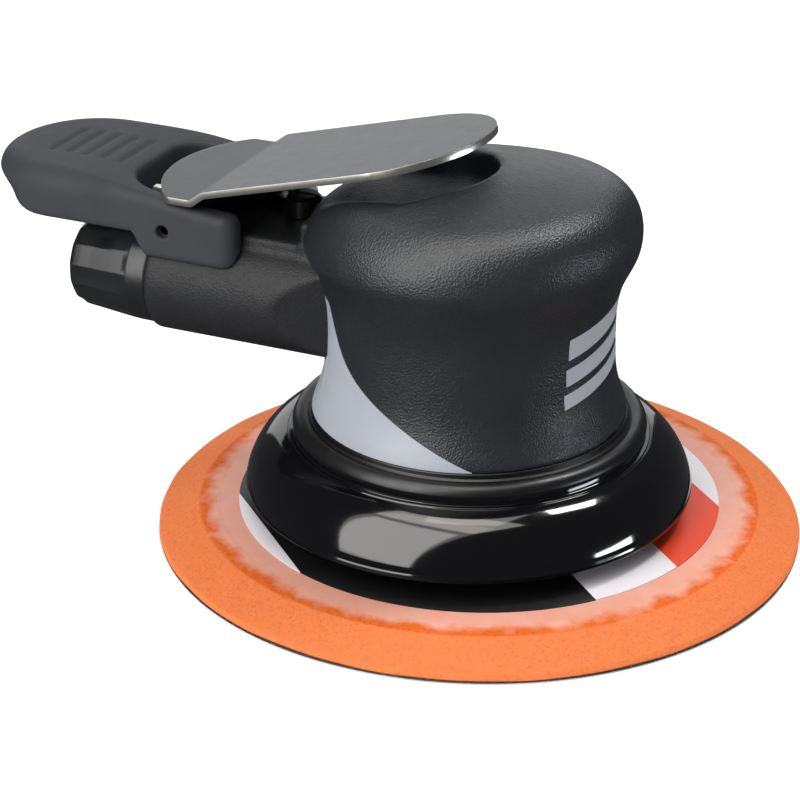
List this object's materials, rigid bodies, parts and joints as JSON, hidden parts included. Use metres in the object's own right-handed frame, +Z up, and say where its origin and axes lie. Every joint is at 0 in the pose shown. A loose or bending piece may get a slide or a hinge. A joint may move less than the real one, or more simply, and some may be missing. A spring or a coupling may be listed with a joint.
{
  "type": "orbital sander",
  "caption": "Palm-grip random orbital air sander: round foam backing pad, bell shroud, saddle-shaped grip, paddle throttle lever, wrist platform, rear air inlet and exhaust.",
  "frame": {"origin": "the point where the motor axis meets the plane of the pad's abrasive face", "axes": "+Z up along the motor axis, -X towards the air inlet, the exhaust and the wrist platform, +Y towards the inlet's side"},
  "size_m": [0.1987, 0.1524, 0.097],
  "materials": {
    "pad_face_vinyl": "dark grey vinyl face, fine grain",
    "pad_foam": "orange moulded urethane foam with a fine skin",
    "pad_urethane": "translucent pinkish urethane",
    "glass_fibre": "glass-fibre laminate",
    "printed_label": "printed film in black, white and red",
    "zinc_steel": "zinc-plated steel",
    "machined_steel": "turned and ground steel",
    "spring_steel": "dark spring steel",
    "bearing_steel": "ground bearing steel",
    "bearing_cage": "pressed brass cage with steel balls",
    "plate_aluminium": "machined aluminium",
    "vane_composite": "cotton-phenolic vane",
    "housing_composite": "black composite with a leather grain",
    "shroud_gloss": "glossy black moulding",
    "grip_rubber": "soft black grip with a leather grain and a plain grey flash",
    "platform_rubber": "smooth satin charcoal moulding",
    "lever_steel": "satin stainless sheet with a polished edge",
    "seal_rubber": "nitrile rubber",
    "valve_brass": "turned brass",
    "black_acetal": "glossy black acetal",
    "cap_composite": "satin black moulding with flats",
    "felt": "grey-green wool felt"
  },
  "bodies": {
    "body": {"motor_housing": "housing_composite", "palm_grip": "grip_rubber", "wrist_platform": "platform_rubber", "shroud": "shroud_gloss", "lock_ring": "spring_steel", "lower_bearing_plate": "plate_aluminium", "upper_bearing_plate": "plate_aluminium", "cylinder_liner": "machined_steel", "lower_outer_race": "bearing_steel", "upper_outer_race": "bearing_steel", "locating_pin": "bearing_steel", "lever_pin": "bearing_steel", "valve_seat": "valve_brass", "valve_guide": "black_acetal", "stem_seal": "seal_rubber", "inlet_bushing": "zinc_steel", "inlet_screen": "valve_brass", "muffler_cap": "cap_composite", "muffler_felt": "felt", "valve_spring": "spring_steel"},
    "rotor": {"rotor": "machined_steel", "rotor_key": "spring_steel", "vane_1": "vane_composite", "vane_2": "vane_composite", "vane_3": "vane_composite", "vane_4": "vane_composite", "vane_5": "vane_composite", "shaft_balancer": "machined_steel", "lower_inner_race": "bearing_steel", "upper_inner_race": "bearing_steel", "shaft_ring": "spring_steel", "spindle_outer_race": "bearing_steel"},
    "pad": {"pad_face": "pad_face_vinyl", "pad_foam": "pad_foam", "pad_hub": "pad_urethane", "pad_plate": "glass_fibre", "pad_label": "printed_label", "pad_stud": "zinc_steel", "spindle": "machined_steel", "spindle_ring": "spring_steel", "spindle_inner_race": "bearing_steel"},
    "lever": {"throttle_lever": "lever_steel"},
    "valve": {"valve_stem": "machined_steel", "valve_poppet": "seal_rubber"},
    "regulator": {"speed_regulator": "black_acetal", "regulator_seal": "seal_rubber"},
    "upper_cage": {"upper_ball_cage": "bearing_cage"},
    "lower_cage": {"lower_ball_cage": "bearing_cage"},
    "spindle_cage": {"spindle_ball_cage": "bearing_cage"}
  },
  "joints": [
    {"name": "motor_spin", "type": "hinge", "parent": "body", "child": "rotor", "pos_m": [0, 0, 0.05], "axis": [0, 0, 1], "continuous": true},
    {"name": "pad_spin", "type": "hinge", "parent": "rotor", "child": "pad", "pos_m": [0.002, 0.0015, 0.01], "axis": [0, 0, 1], "continuous": true},
    {"name": "lever_press", "type": "hinge", "parent": "body", "child": "lever", "pos_m": [-0.0679, 0, 0.0697], "axis": [0, 1, 0], "range_deg": [0, 5.5], "stiffness_Nm_per_rad": 0.6, "springref_deg": -20.05},
    {"name": "valve_slide", "type": "slide", "parent": "body", "child": "valve", "axis": [0, 0, -1], "range_m": [0, 0.0019], "deforming": ["valve_spring"]},
    {"name": "regulator_turn", "type": "hinge", "parent": "body", "child": "regulator", "pos_m": [-0.0435, 0.0025, 0.06], "axis": [0, 0, 1], "range_deg": [-90, 0]},
    {"name": "upper_cage_spin", "type": "hinge", "parent": "body", "child": "upper_cage", "pos_m": [0, 0, 0.066], "axis": [0, 0, 1], "continuous": true},
    {"name": "lower_cage_spin", "type": "hinge", "parent": "body", "child": "lower_cage", "pos_m": [0, 0, 0.033], "axis": [0, 0, 1], "continuous": true},
    {"name": "spindle_cage_spin", "type": "hinge", "parent": "rotor", "child": "spindle_cage", "pos_m": [0.002, 0.0015, 0.017], "axis": [0, 0, 1], "continuous": true}
  ],
  "couplings": [
    {"joint": "valve_slide", "follows": "lever_press", "m_per_rad": 0.0196},
    {"joint": "upper_cage_spin", "follows": "motor_spin", "ratio": 0.387},
    {"joint": "lower_cage_spin", "follows": "motor_spin", "ratio": 0.395},
    {"joint": "spindle_cage_spin", "follows": "pad_spin", "ratio": 0.395}
  ]
}
